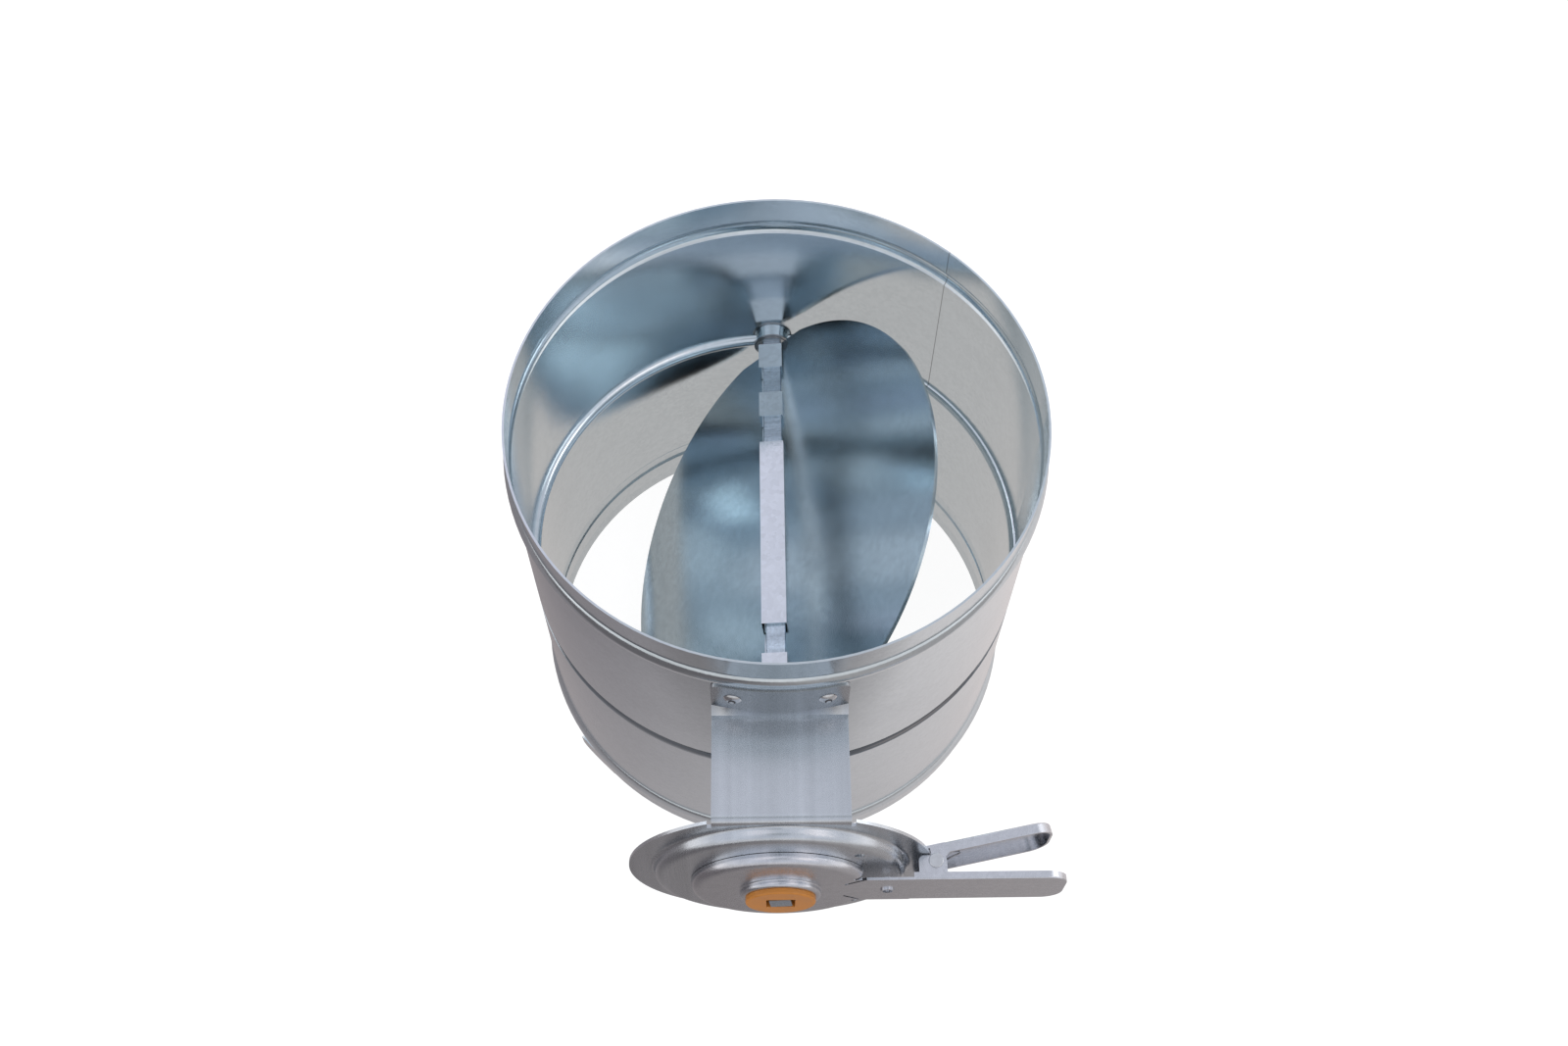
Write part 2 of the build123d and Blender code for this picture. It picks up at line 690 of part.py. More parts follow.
lever_slope = leg_slope(pan_face - pan_sheet - pin_y - spring_wire_radius - seat)
web_slope = leg_slope(web_distance - spring_wire_radius - seat)
coil_start = radians(90 + clamp_angle + web_slope)
coil_end = radians(270 - lever_slope)
spring_turns = spring_whole_turns + degrees(coil_end - coil_start) / 360
coil_height = spring_turns * spring_pitch
with BuildPart() as torsion_spring:
    with BuildLine() as wire_line:
        coil = Helix(spring_pitch, coil_height, spring_coil_radius)
        Line(coil @ 0, coil @ 0 - coil % 0 * spring_leg)
        Line(coil @ 1, coil @ 1 + coil % 1 * spring_leg)
    coil_plane = Plane(
        origin=(pin_x, -pin_y, shaft_height - coil_height / 2),
        x_dir=(cos(coil_start), sin(coil_start), 0),
        z_dir=(0, 0, 1),
    )
    wire_path = coil_plane * wire_line.wires()[0]
    with BuildSketch(Plane(origin=wire_path @ 0, z_dir=wire_path % 0)):
        Circle(spring_wire_radius)
    sweep(path=wire_path, is_frenet=True)
torsion_spring.part.label = "torsion_spring"
export_step(torsion_spring.part, "parts/torsion_spring.step")
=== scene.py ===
import json
import math

import bmesh
import bpy
from mathutils import Euler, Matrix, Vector


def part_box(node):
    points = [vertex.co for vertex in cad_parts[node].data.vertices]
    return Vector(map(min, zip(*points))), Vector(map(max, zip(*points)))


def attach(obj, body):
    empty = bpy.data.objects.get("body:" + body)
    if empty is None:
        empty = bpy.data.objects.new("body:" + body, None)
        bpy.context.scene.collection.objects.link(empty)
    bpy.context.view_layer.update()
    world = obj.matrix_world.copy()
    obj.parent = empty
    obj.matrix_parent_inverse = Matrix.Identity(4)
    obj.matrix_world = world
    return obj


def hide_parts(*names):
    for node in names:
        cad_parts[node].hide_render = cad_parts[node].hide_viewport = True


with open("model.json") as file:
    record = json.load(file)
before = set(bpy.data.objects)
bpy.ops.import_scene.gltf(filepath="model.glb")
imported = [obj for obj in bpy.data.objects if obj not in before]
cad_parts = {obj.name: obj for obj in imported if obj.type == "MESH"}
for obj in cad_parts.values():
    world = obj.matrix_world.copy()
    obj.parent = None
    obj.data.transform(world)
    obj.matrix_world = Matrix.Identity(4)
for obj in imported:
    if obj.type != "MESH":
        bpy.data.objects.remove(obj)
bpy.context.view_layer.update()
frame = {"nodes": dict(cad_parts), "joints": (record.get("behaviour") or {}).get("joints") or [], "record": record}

# Finish, light and small details of a round volume control damper.
# Metres. The duct stands along Z, the blade's shaft lies along Y and the handle faces -Y.

MM = 0.001

# ---------------------------------------------------------------- places taken from the frame
bar_low, bar_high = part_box("square_shaft")
shaft_height = (bar_low.z + bar_high.z) / 2
joints = {joint["name"]: joint for joint in frame["joints"]}
pin_axis = Vector(joints["lever_squeeze"]["pos_m"])
spigot = next(mount for mount in frame["record"]["mounts"] if mount["name"] == "upper_spigot")
casing_radius = spigot["dims"]["r_mm"] * MM
rivet_low, rivet_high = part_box("bracket_rivets")
rivet_height = (rivet_low.z + rivet_high.z) / 2
rivet_spacing = 33.0 * MM
rivet_turn = math.asin(rivet_spacing / 2 / casing_radius)
blade_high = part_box("blade")[1]
blade_sheet_allowance = 0.1 * MM
blade_radius = math.hypot(blade_high.z - shaft_height, blade_high.x) - blade_sheet_allowance
blade_angle = math.atan2(blade_high.z - shaft_height, blade_high.x)


# ---------------------------------------------------------------- node helpers
def new_group(name, kind, inputs, outputs):
    """Node group with its sockets made: (name, socket type, default) each."""
    group = bpy.data.node_groups.new(name, kind)
    for label, socket_type, default in inputs:
        socket = group.interface.new_socket(name=label, in_out="INPUT", socket_type=socket_type)
        if default is not None:
            socket.default_value = default
    for label, socket_type in outputs:
        group.interface.new_socket(name=label, in_out="OUTPUT", socket_type=socket_type)
    return group


def add_node(tree, kind, settings=None, links=None):
    """Adds a node, sets its properties, and fills its inputs with values or links."""
    node = tree.nodes.new(kind)
    for name, value in (settings or {}).items():
        setattr(node, name, value)
    for socket, value in (links or {}).items():
        if isinstance(value, bpy.types.NodeSocket):
            tree.links.new(value, node.inputs[socket])
        else:
            node.inputs[socket].default_value = value
    return node


def maths(tree, operation, first, second=0.0):
    """One Math node's result."""
    return add_node(
        tree, "ShaderNodeMath", {"operation": operation}, {0: first, 1: second}
    ).outputs[0]


def mixed(tree, amount, first, second):
    """Result of a Mix node on colours: its inputs 0, 6 and 7 are the factor and the two colours."""
    settings = {"data_type": "RGBA", "blend_type": "MIX"}
    return add_node(
        tree, "ShaderNodeMix", settings, {0: amount, 6: first, 7: second}
    ).outputs[2]


def overlaid(tree, mask, strength, under, over):
    """A colour laid over another where a mask says so, at part of its strength."""
    return mixed(tree, maths(tree, "MULTIPLY", mask, strength), under, over)


def remapped(tree, value, low, high, to_low=0.0, to_high=1.0):
    """Map Range, clamped."""
    return add_node(
        tree, "ShaderNodeMapRange", None, {0: value, 1: low, 2: high, 3: to_low, 4: to_high}
    ).outputs[0]


def vector_maths(tree, operation, first, second, result="Vector"):
    """One Vector Math node's result: a vector, or a Value for a product or a length."""
    return add_node(
        tree, "ShaderNodeVectorMath", {"operation": operation}, {0: first, 1: second}
    ).outputs[result]


def noise(tree, vector, scale, detail=None, roughness=None):
    """Noise Texture's factor."""
    links = {"Vector": vector, "Scale": scale}
    if detail is not None:
        links["Detail"] = detail
    if roughness is not None:
        links["Roughness"] = roughness
    return add_node(tree, "ShaderNodeTexNoise", None, links).outputs["Fac"]


def tinted(tree, colour, tone):
    """Colour made lighter or darker by a tone that changes over the surface."""
    return add_node(
        tree, "ShaderNodeVectorMath", {"operation": "SCALE"}, {0: colour, "Scale": tone}
    ).outputs[0]


def object_coordinates(tree):
    return add_node(tree, "ShaderNodeTexCoord").outputs["Object"]


# ---------------------------------------------------------------- shared shader groups
def make_spangle_group():
    """Frost-like zinc crystals: a value for each crystal and a fine frost noise."""
    group = new_group(
        "zinc_spangle",
        "ShaderNodeTree",
        [("Vector", "NodeSocketVector", None), ("Crystal Size", "NodeSocketFloat", 0.003)],
        [("Crystal", "NodeSocketFloat"), ("Frost", "NodeSocketFloat")],
    )
    entry = add_node(group, "NodeGroupInput")
    scale = maths(group, "DIVIDE", 1.0, entry.outputs["Crystal Size"])
    wander = add_node(
        group,
        "ShaderNodeTexNoise",
        None,
        {"Vector": entry.outputs["Vector"], "Scale": scale, "Detail": 3.0},
    )
    bent = add_node(
        group,
        "ShaderNodeVectorMath",
        {"operation": "MULTIPLY_ADD"},
        {0: wander.outputs["Color"], 1: (0.002, 0.002, 0.002), 2: entry.outputs["Vector"]},
    )
    cells = add_node(
        group, "ShaderNodeTexVoronoi", None, {"Vector": bent.outputs[0], "Scale": scale}
    )
    frost_scale = maths(group, "MULTIPLY", scale, 7.0)
    frost = noise(group, entry.outputs["Vector"], frost_scale, 4.0, 0.7)
    exit_node = add_node(group, "NodeGroupOutput")
    crystal = add_node(group, "ShaderNodeSeparateColor", None, {0: cells.outputs["Color"]})
    group.links.new(crystal.outputs[0], exit_node.inputs["Crystal"])
    group.links.new(frost, exit_node.inputs["Frost"])
    return group


def make_rolling_group():
    """Fine lines left by the rolls, long in one direction and short across it."""
    group = new_group(
        "rolling_lines",
        "ShaderNodeTree",
        [
            ("Vector", "NodeSocketVector", None),
            ("Stretch", "NodeSocketVector", (900.0, 8.0, 900.0)),
        ],
        [("Lines", "NodeSocketFloat"), ("Streaks", "NodeSocketFloat")],
    )
    entry = add_node(group, "NodeGroupInput")
    exit_node = add_node(group, "NodeGroupOutput")
    for label, factor, detail in (("Lines", 1.0, 3.0), ("Streaks", 0.16, 2.0)):
        stretched = vector_maths(
            group, "MULTIPLY", entry.outputs["Vector"], entry.outputs["Stretch"]
        )
        pattern = noise(group, stretched, factor, detail, 0.6)
        group.links.new(pattern, exit_node.inputs[label])
    return group


def make_handling_group():
    """Marks of handling: grey smudges, short scuffs and pin-head specks."""
    group = new_group(
        "handling_marks",
        "ShaderNodeTree",
        [("Vector", "NodeSocketVector", None), ("Amount", "NodeSocketFloat", 0.5)],
        [("Smudge", "NodeSocketFloat"), ("Speck", "NodeSocketFloat"), ("Scuff", "NodeSocketFloat")],
    )
    entry = add_node(group, "NodeGroupInput")
    exit_node = add_node(group, "NodeGroupOutput")
    where = entry.outputs["Vector"]
    smudge = noise(group, where, 22.0, 5.0, 0.62)
    smudge_mask = remapped(group, smudge, 0.48, 0.72)
    dots = add_node(
        group, "ShaderNodeTexVoronoi", None, {"Vector": where, "Scale": 160.0, "Randomness": 1.0}
    )
    dot_mask = remapped(group, dots.outputs["Distance"], 0.05, 0.09, 1.0, 0.0)
    patch = noise(group, where, 35.0)
    speck = maths(group, "MULTIPLY", dot_mask, remapped(group, patch, 0.52, 0.6))
    turned = add_node(
        group,
        "ShaderNodeMapping",
        None,
        {"Vector": where, "Rotation": (0.4, 0.9, 0.3), "Scale": (420.0, 30.0, 160.0)},
    )
    scratches = noise(group, turned.outputs[0], 1.0, 2.0)
    scuff = maths(
        group, "MULTIPLY", remapped(group, scratches, 0.66, 0.74), remapped(group, smudge, 0.5, 0.6)
    )
    for label, value in (("Smudge", smudge_mask), ("Speck", speck), ("Scuff", scuff)):
        group.links.new(
            maths(group, "MULTIPLY", value, entry.outputs["Amount"]), exit_node.inputs[label]
        )
    return group


def make_edge_group():
    """Mask of sharp edges, where the zinc is rubbed bright."""
    group = new_group(
        "worn_edges",
        "ShaderNodeTree",
        [("Width", "NodeSocketFloat", 0.0006)],
        [("Edge", "NodeSocketFloat")],
    )
    entry = add_node(group, "NodeGroupInput")
    exit_node = add_node(group, "NodeGroupOutput")
    rounded = add_node(
        group, "ShaderNodeBevel", {"samples": 4}, {"Radius": entry.outputs["Width"]}
    )
    geometry = add_node(group, "ShaderNodeNewGeometry")
    alike = vector_maths(
        group, "DOT_PRODUCT", rounded.outputs[0], geometry.outputs["Normal"], "Value"
    )
    mask = remapped(group, alike, 0.97, 0.80)
    group.links.new(mask, exit_node.inputs["Edge"])
    return group


spangle_group = make_spangle_group()
rolling_group = make_rolling_group()
handling_group = make_handling_group()
edge_group = make_edge_group()


def placed(tree, group, links):
    """A shared group in a material, with its own values."""
    return add_node(tree, "ShaderNodeGroup", {"node_tree": group}, links)


def new_material(name):
    """Material, its node tree and its Principled BSDF."""
    material = bpy.data.materials.new(name)
    material.use_nodes = True
    tree = material.node_tree
    return material, tree, tree.nodes["Principled BSDF"]


# ---------------------------------------------------------------- materials
ZINC = (0.66, 0.73, 0.77)
# near-black laid on the zinc: painted shade in the groove, strap hollows and flange, and the dark joint and cut
# edge
PAINTED_SHADE_AND_DARK_EDGE = (0.05, 0.045, 0.045, 1.0)
WAVE_SCALE = 9.0


def make_zinc(
    name,
    colour,
    roughness,
    crystal_size=0.0028,
    crystal_contrast=0.05,
    stretch=(500.0, 500.0, 6.0),
    line_strength=0.1,
    marks=0.4,
    wave=0.08,
    edge=0.35,
    grain=0.12,
    dark_places=None,
):
    """Galvanised or plated steel: crystals, rolling lines, slow waves and rubbed edges."""
    material, tree, surface = new_material(name)
    where = object_coordinates(tree)
    crystals = placed(tree, spangle_group, {"Vector": where, "Crystal Size": crystal_size})
    rolling = placed(tree, rolling_group, {"Vector": where, "Stretch": stretch})
    handling = placed(tree, handling_group, {"Vector": where, "Amount": marks})
    edges = placed(tree, edge_group, {"Width": 0.0005})
    dark = tuple(channel * 0.72 for channel in colour) + (1.0,)
    bright = tuple(min(channel * 1.22, 0.92) for channel in colour) + (1.0,)
    crystal_tone = remapped(
        tree, crystals.outputs["Crystal"], 0.0, 1.0, 1.0 - crystal_contrast, 1.0 + crystal_contrast
    )
    line_contrast = line_strength * 0.4
    line_tone = remapped(
        tree, rolling.outputs["Streaks"], 0.25, 0.75, 1.0 - line_contrast, 1.0 + line_contrast
    )
    toned = tinted(tree, colour, maths(tree, "MULTIPLY", crystal_tone, line_tone))
    smudged = overlaid(tree, handling.outputs["Smudge"], 0.35, toned, dark)
    specked = overlaid(tree, handling.outputs["Speck"], 0.8, smudged, dark)
    finished = overlaid(tree, edges.outputs["Edge"], edge, specked, bright)
    # painted shade, and the dark joint and cut edge, laid over the colour where dark_places says
    if dark_places:
        finished = mixed(tree, dark_places(tree, where), finished, PAINTED_SHADE_AND_DARK_EDGE)
    tree.links.new(finished, surface.inputs["Base Color"])
    surface.inputs["Metallic"].default_value = 1.0
    rough = maths(
        tree,
        "ADD",
        remapped(tree, crystals.outputs["Frost"], 0.3, 0.7, roughness * 0.8, roughness * 1.3),
        maths(tree, "MULTIPLY", rolling.outputs["Lines"], line_strength * 0.25),
    )
    for mark, added in (("Smudge", 0.10), ("Scuff", 0.15)):
        rough = maths(tree, "ADD", rough, maths(tree, "MULTIPLY", handling.outputs[mark], added))
    tree.links.new(rough, surface.inputs["Roughness"])
    slow = noise(tree, where, WAVE_SCALE, 1.0)
    waves = add_node(
        tree, "ShaderNodeBump", None, {"Height": slow, "Strength": wave, "Distance": 4.0 * MM}
    )
    grain_height = maths(
        tree,
        "ADD",
        maths(tree, "MULTIPLY", rolling.outputs["Lines"], line_strength * 4.0),
        crystals.outputs["Frost"],
    )
    fine = add_node(
        tree,
        "ShaderNodeBump",
        None,
        {
            "Height": grain_height,
            "Strength": grain,
            "Distance": 0.2 * MM,
            "Normal": waves.outputs[0],
        },
    )
    tree.links.new(fine.outputs[0], surface.inputs["Normal"])
    return material


def make_plastic(name, colour, roughness, mottling=0.06):
    """Moulded polyamide: a slight mottle, a fine skin and paler rubbed edges."""
    material, tree, surface = new_material(name)
    where = object_coordinates(tree)
    handling = placed(tree, handling_group, {"Vector": where, "Amount": 0.5})
    edges = placed(tree, edge_group, {"Width": 0.0006})
    mottle = noise(tree, where, 180.0, 4.0)
    toned = tinted(tree, colour, remapped(tree, mottle, 0.3, 0.7, 1.0 - mottling, 1.0 + mottling))
    dirty = tuple(channel * 0.6 for channel in colour) + (1.0,)
    pale = tuple(min(channel * 1.25 + 0.02, 1.0) for channel in colour) + (1.0,)
    soiled = overlaid(tree, handling.outputs["Smudge"], 0.4, toned, dirty)
    rubbed = overlaid(tree, edges.outputs["Edge"], 0.4, soiled, pale)
    tree.links.new(rubbed, surface.inputs["Base Color"])
    rough = remapped(tree, mottle, 0.3, 0.7, roughness * 0.85, roughness * 1.2)
    tree.links.new(rough, surface.inputs["Roughness"])
    skin = noise(tree, where, 2600.0, 2.0)
    fine = add_node(
        tree, "ShaderNodeBump", None, {"Height": skin, "Strength": 0.15, "Distance": 0.1 * MM}
    )
    tree.links.new(fine.outputs[0], surface.inputs["Normal"])
    return material


def casing_dark_places(tree, where):
    """Painted shade in the outer groove at mid-height, and the dark thin joint of the rolled sheet."""
    parts = add_node(tree, "ShaderNodeSeparateXYZ", None, {0: where})
    x, y, z = parts.outputs
    normal = add_node(tree, "ShaderNodeNewGeometry").outputs["True Normal"]
    flat_place = add_node(tree, "ShaderNodeCombineXYZ", None, {0: x, 1: y, 2: 0.0}).outputs[0]
    outward = vector_maths(tree, "DOT_PRODUCT", normal, flat_place, "Value")
    outside = remapped(tree, outward, 0.0, 0.01)
    # painted shade: the outer groove darkened, on the outside of the wall only
    groove_drop = 0.9 * MM
    height = maths(tree, "ABSOLUTE", maths(tree, "SUBTRACT", z, shaft_height - groove_drop))
    groove_painted_shade = remapped(tree, height, 2.0 * MM, 2.5 * MM, 0.88, 0.0)
    groove = maths(tree, "MULTIPLY", groove_painted_shade, outside)
    joint_turn = math.radians(47)
    beside = maths(
        tree,
        "SUBTRACT",
        maths(tree, "MULTIPLY", x, math.sin(joint_turn)),
        maths(tree, "MULTIPLY", y, math.cos(joint_turn)),
    )
    on_joint = remapped(tree, maths(tree, "ABSOLUTE", beside), 0.10 * MM, 0.28 * MM, 0.6, 0.0)
    same_side = maths(tree, "GREATER_THAN", x, 0.0)
    joint = maths(tree, "MULTIPLY", on_joint, same_side)
    return maths(tree, "MAXIMUM", groove, joint)


def blade_dark_places(tree, where):
    """The dark cut edge of the disc, and painted shade in the hollows of the straps that pass under the bar."""
    from_middle = vector_maths(tree, "SUBTRACT", where, (0.0, 0.0, shaft_height))
    reach = add_node(tree, "ShaderNodeVectorMath", {"operation": "LENGTH"}, {0: from_middle})
    edge_start, edge_end = blade_radius - 0.35 * MM, blade_radius - 0.1 * MM
    cut_edge = remapped(tree, reach.outputs["Value"], edge_start, edge_end, 0.0, 0.8)
    blade_face = (-math.sin(blade_angle), 0.0, math.cos(blade_angle))
    depth = vector_maths(tree, "DOT_PRODUCT", from_middle, blade_face, "Value")
    normal = add_node(
        tree,
        "ShaderNodeVectorTransform",
        {"vector_type": "NORMAL", "convert_from": "WORLD", "convert_to": "OBJECT"},
        {0: add_node(tree, "ShaderNodeNewGeometry").outputs["True Normal"]},
    ).outputs[0]
    facing = vector_maths(tree, "DOT_PRODUCT", normal, blade_face, "Value")
    # painted shade in the strap hollows, on faces turned the same way as the blade
    hollow_painted_shade = remapped(tree, depth, -0.4 * MM, -1.6 * MM, 0.0, 0.85)
    hollow = maths(tree, "MULTIPLY", hollow_painted_shade, maths(tree, "GREATER_THAN", facing, 0.05))
    return maths(tree, "MAXIMUM", cut_edge, hollow)


def bracket_painted_shade(tree, where):
    """Painted shade on the riveted flange, which is made darker than the plate and the dial."""
    parts = add_node(tree, "ShaderNodeSeparateXYZ", None, {0: where})
    bend_start, bend_end = rivet_height - 12.0 * MM, rivet_height - 9.0 * MM
    return remapped(tree, parts.outputs[2], bend_start, bend_end, 0.0, 0.28)


casing_zinc = make_zinc(
    "casing_zinc",
    ZINC,
    0.10,
    crystal_size=0.0016,
    crystal_contrast=0.03,
    stretch=(40.0, 40.0, 700.0),
    line_strength=0.03,
    grain=0.05,
    dark_places=casing_dark_places,
)
blade_zinc = make_zinc(
    "blade_zinc",
    ZINC,
    0.09,
    crystal_size=0.002,
    stretch=(500.0, 5.0, 500.0),
    line_strength=0.04,
    wave=0.05,
    grain=0.04,
    dark_places=blade_dark_places,
)

bracket_zinc = make_zinc(
    "bracket_zinc",
    (0.62, 0.66, 0.70),
    0.22,
    crystal_contrast=0.015,
    stretch=(1400.0, 7.0, 7.0),
    line_strength=0.2,
    marks=0.3,
    wave=0.04,
    grain=0.03,
    dark_places=bracket_painted_shade,
)
lever_zinc = make_zinc(
    "lever_zinc",
    (0.66, 0.68, 0.72),
    0.22,
    crystal_size=0.0014,
    stretch=(9.0, 800.0, 800.0),
    wave=0.06,
    grain=0.06,
)
bar_zinc = make_zinc(
    "bar_zinc",
    (0.50, 0.59, 0.67),
    0.2,
    crystal_size=0.0008,
    crystal_contrast=0.12,
    stretch=(120.0, 1400.0, 120.0),
    line_strength=0.6,
    wave=0.05,
)
bush_steel = make_zinc(
    "bush_steel", (0.56, 0.58, 0.60), 0.22, stretch=(300.0, 2500.0, 300.0), line_strength=0.5
)
rivet_steel = make_zinc("rivet_steel", (0.66, 0.68, 0.70), 0.16, crystal_size=0.0008)
clip_steel = make_zinc("clip_steel", (0.40, 0.40, 0.41), 0.25, crystal_size=0.001)
orange_nylon = make_plastic("orange_nylon", (0.66, 0.255, 0.04), 0.34)
black_nylon = make_plastic("black_nylon", (0.03, 0.03, 0.033), 0.42)

finishes = {
    "casing": casing_zinc,
    "blade": blade_zinc,
    "dial_bracket": bracket_zinc,
    "hub_lever": lever_zinc,
    "clamp_lever": lever_zinc,
    "square_shaft": bar_zinc,
    "front_bush": bush_steel,
    "rear_bush": bush_steel,
    "front_bush_clip": clip_steel,
    "rear_bush_clip": clip_steel,
    "bracket_rivets": rivet_steel,
    "pivot_pin": rivet_steel,
    "pin_washer": bush_steel,
    "hub_washer": bush_steel,
    "hub_clip": clip_steel,
    "hub_bush": orange_nylon,
    "hub_spacer": black_nylon,
    "torsion_spring": clip_steel,
}
for node_name, material in finishes.items():
    for slot in frame["nodes"][node_name].material_slots:
        slot.material = material


# ---------------------------------------------------------------- small pieces
def new_piece(name, vertices, faces):
    """Object with its own mesh, linked to the scene."""
    mesh = bpy.data.meshes.new(name)
    mesh.from_pydata(vertices, [], faces)
    piece = bpy.data.objects.new(name, mesh)
    bpy.context.collection.objects.link(piece)
    return piece


def grown(piece, tree):
    """Runs a geometry tree on the piece and keeps the result as a plain mesh."""
    modifier = piece.modifiers.new(tree.name, "NODES")
    modifier.node_group = tree
    evaluated = piece.evaluated_get(bpy.context.evaluated_depsgraph_get())
    mesh = bpy.data.meshes.new_from_object(evaluated)
    piece.modifiers.clear()
    piece.data = mesh
    return piece


def add_stud_part(tree, points, turn, radius, height, sink, material):
    """A short cylinder on each point, standing up by height and sunk by sink."""
    stud = add_node(
        tree,
        "GeometryNodeMeshCylinder",
        None,
        {"Vertices": 20, "Radius": radius, "Depth": maths(tree, "ADD", height, sink)},
    )
    lift = maths(tree, "MULTIPLY", maths(tree, "SUBTRACT", height, sink), 0.5)
    offset = add_node(tree, "ShaderNodeCombineXYZ", None, {2: lift})
    raised = add_node(
        tree,
        "GeometryNodeTransform",
        None,
        {"Geometry": stud.outputs["Mesh"], "Translation": offset.outputs[0]},
    )
    copies = add_node(
        tree,
        "GeometryNodeInstanceOnPoints",
        None,
        {"Points": points, "Instance": raised.outputs[0], "Rotation": turn},
    )
    solid = add_node(tree, "GeometryNodeRealizeInstances", None, {0: copies.outputs[0]})
    return add_node(
        tree, "GeometryNodeSetMaterial", None, {"Geometry": solid.outputs[0], "Material": material}
    ).outputs[0]


def make_mandrel_tree(name, shade_disc_radius, stud_radius, shade_disc_material, stud_material):
    """Broken-off mandrel of a blind rivet: a black disc of painted shade for its recess, with a bright stud in it.
    """
    tree = new_group(
        name,
        "GeometryNodeTree",
        [
            ("Geometry", "NodeSocketGeometry", None),
            ("Shade Disc Radius", "NodeSocketFloat", shade_disc_radius),
            ("Stud Radius", "NodeSocketFloat", stud_radius),
            ("Shade Disc Height", "NodeSocketFloat", 0.04 * MM),
            ("Stud Height", "NodeSocketFloat", 0.25 * MM),
            ("Sink", "NodeSocketFloat", 0.4 * MM),
        ],
        [("Geometry", "NodeSocketGeometry")],
    )
    entry = add_node(tree, "NodeGroupInput")
    exit_node = add_node(tree, "NodeGroupOutput")
    outward = add_node(
        tree, "GeometryNodeInputNamedAttribute", {"data_type": "FLOAT_VECTOR"}, {"Name": "outward"}
    )
    turn = add_node(
        tree, "FunctionNodeAlignRotationToVector", {"axis": "Z"}, {"Vector": outward.outputs[0]}
    )
    join = add_node(tree, "GeometryNodeJoinGeometry")
    for radius, height, material in (
        ("Shade Disc Radius", "Shade Disc Height", shade_disc_material),
        ("Stud Radius", "Stud Height", stud_material),
    ):
        part = add_stud_part(
            tree,
            entry.outputs["Geometry"],
            turn.outputs[0],
            entry.outputs[radius],
            entry.outputs[height],
            entry.outputs["Sink"],
            material,
        )
        tree.links.new(part, join.inputs[0])
    tree.links.new(join.outputs[0], exit_node.inputs[0])
    return tree


def make_mandrels(name, reach, inward, shade_disc_radius, stud_radius):
    """Mandrel ends on both rivets, at this distance from the duct axis."""
    sign = -1 if inward else 1
    directions = [
        Vector((side * math.sin(rivet_turn), -math.cos(rivet_turn), 0)) for side in (-1, 1)
    ]
    places = [direction * reach + Vector((0, 0, rivet_height)) for direction in directions]
    piece = new_piece(name, places, [])
    outward = piece.data.attributes.new("outward", "FLOAT_VECTOR", "POINT")
    for item, direction in zip(outward.data, directions):
        item.vector = direction * sign
    tree = make_mandrel_tree(name, shade_disc_radius, stud_radius, recess_painted_shade, rivet_steel)
    grown(piece, tree)
    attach(piece, "duct_sleeve")


def make_lap_tab():
    """End of the lower spigot's rolled seam: a thin tab that stands off at its left end."""
    steps = 14
    start, end = math.radians(212.5), math.radians(224)
    low, high = 0.6 * MM, 10.5 * MM
    inner = casing_radius - 1.2 * MM
    most_proud, least_proud = 1.9 * MM, 0.05 * MM
    corner_size = 1.2 * MM
    vertices, faces = [], []
    for step in range(steps + 1):
        share = step / steps
        turn = start + (end - start) * share
        proud = most_proud * (1 - share) ** 1.6 + least_proud
        corner = corner_size * max(0.0, 1 - share * 6) ** 2
        for radius, height in (
            (inner, low + corner),
            (casing_radius + proud - 0.5 * MM, low + corner),
            (casing_radius + proud, high - corner),
            (inner, high - corner),
        ):
            vertices.append((radius * math.cos(turn), radius * math.sin(turn), height))
    for step in range(steps):
        first = 4 * step
        for side in range(4):
            following = (side + 1) % 4
            faces.append(
                (first + side, first + 4 + side, first + 4 + following, first + following)
            )
    faces.append((0, 1, 2, 3))
    faces.append(tuple(4 * steps + side for side in (3, 2, 1, 0)))
    piece = new_piece("lap_tab", vertices, faces)
    shape = bmesh.new()
    shape.from_mesh(piece.data)
    bmesh.ops.recalc_face_normals(shape, faces=shape.faces)
    shape.to_mesh(piece.data)
    shape.free()
    piece.data.materials.append(casing_zinc)
    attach(piece, "duct_sleeve")


def spring_piece(name, keeps_rear_leg):
    """The torsion spring without its rear leg, or that leg alone."""
    source = frame["nodes"]["torsion_spring"]
    mesh = source.data.copy()
    piece = bpy.data.objects.new(name, mesh)
    bpy.context.collection.objects.link(piece)
    shape = bmesh.new()
    shape.from_mesh(mesh)
    bmesh.ops.remove_doubles(shape, verts=shape.verts, dist=0.001 * MM)
    leg_root = pin_axis + Vector((2.5 * MM, 0, 0))
    everything = shape.verts[:] + shape.edges[:] + shape.faces[:]
    bmesh.ops.bisect_plane(shape, geom=everything, plane_co=leg_root, plane_no=(1, 0, 0))
    rear_leg = [
        vertex
        for vertex in shape.verts
        if vertex.co.x > leg_root.x - 0.01 * MM and vertex.co.z < pin_axis.z
    ]
    if keeps_rear_leg:
        kept = set(rear_leg)
        gone = [vertex for vertex in shape.verts if vertex not in kept]
    else:
        gone = [vertex for vertex in rear_leg if vertex.co.x > leg_root.x + 0.01 * MM]
    bmesh.ops.delete(shape, geom=gone, context="VERTS")
    bmesh.ops.holes_fill(shape, edges=[edge for edge in shape.edges if edge.is_boundary])
    bmesh.ops.recalc_face_normals(shape, faces=shape.faces)
    shape.to_mesh(mesh)
    shape.free()
    mesh.materials.clear()
    mesh.materials.append(clip_steel)
    return piece


# black material for the painted shade in the rivet recesses
recess_painted_shade, _, recess_surface = new_material("recess_painted_shade")
recess_surface.inputs["Base Color"].default_value = (0.05, 0.05, 0.055, 1)
recess_surface.inputs["Roughness"].default_value = 0.5

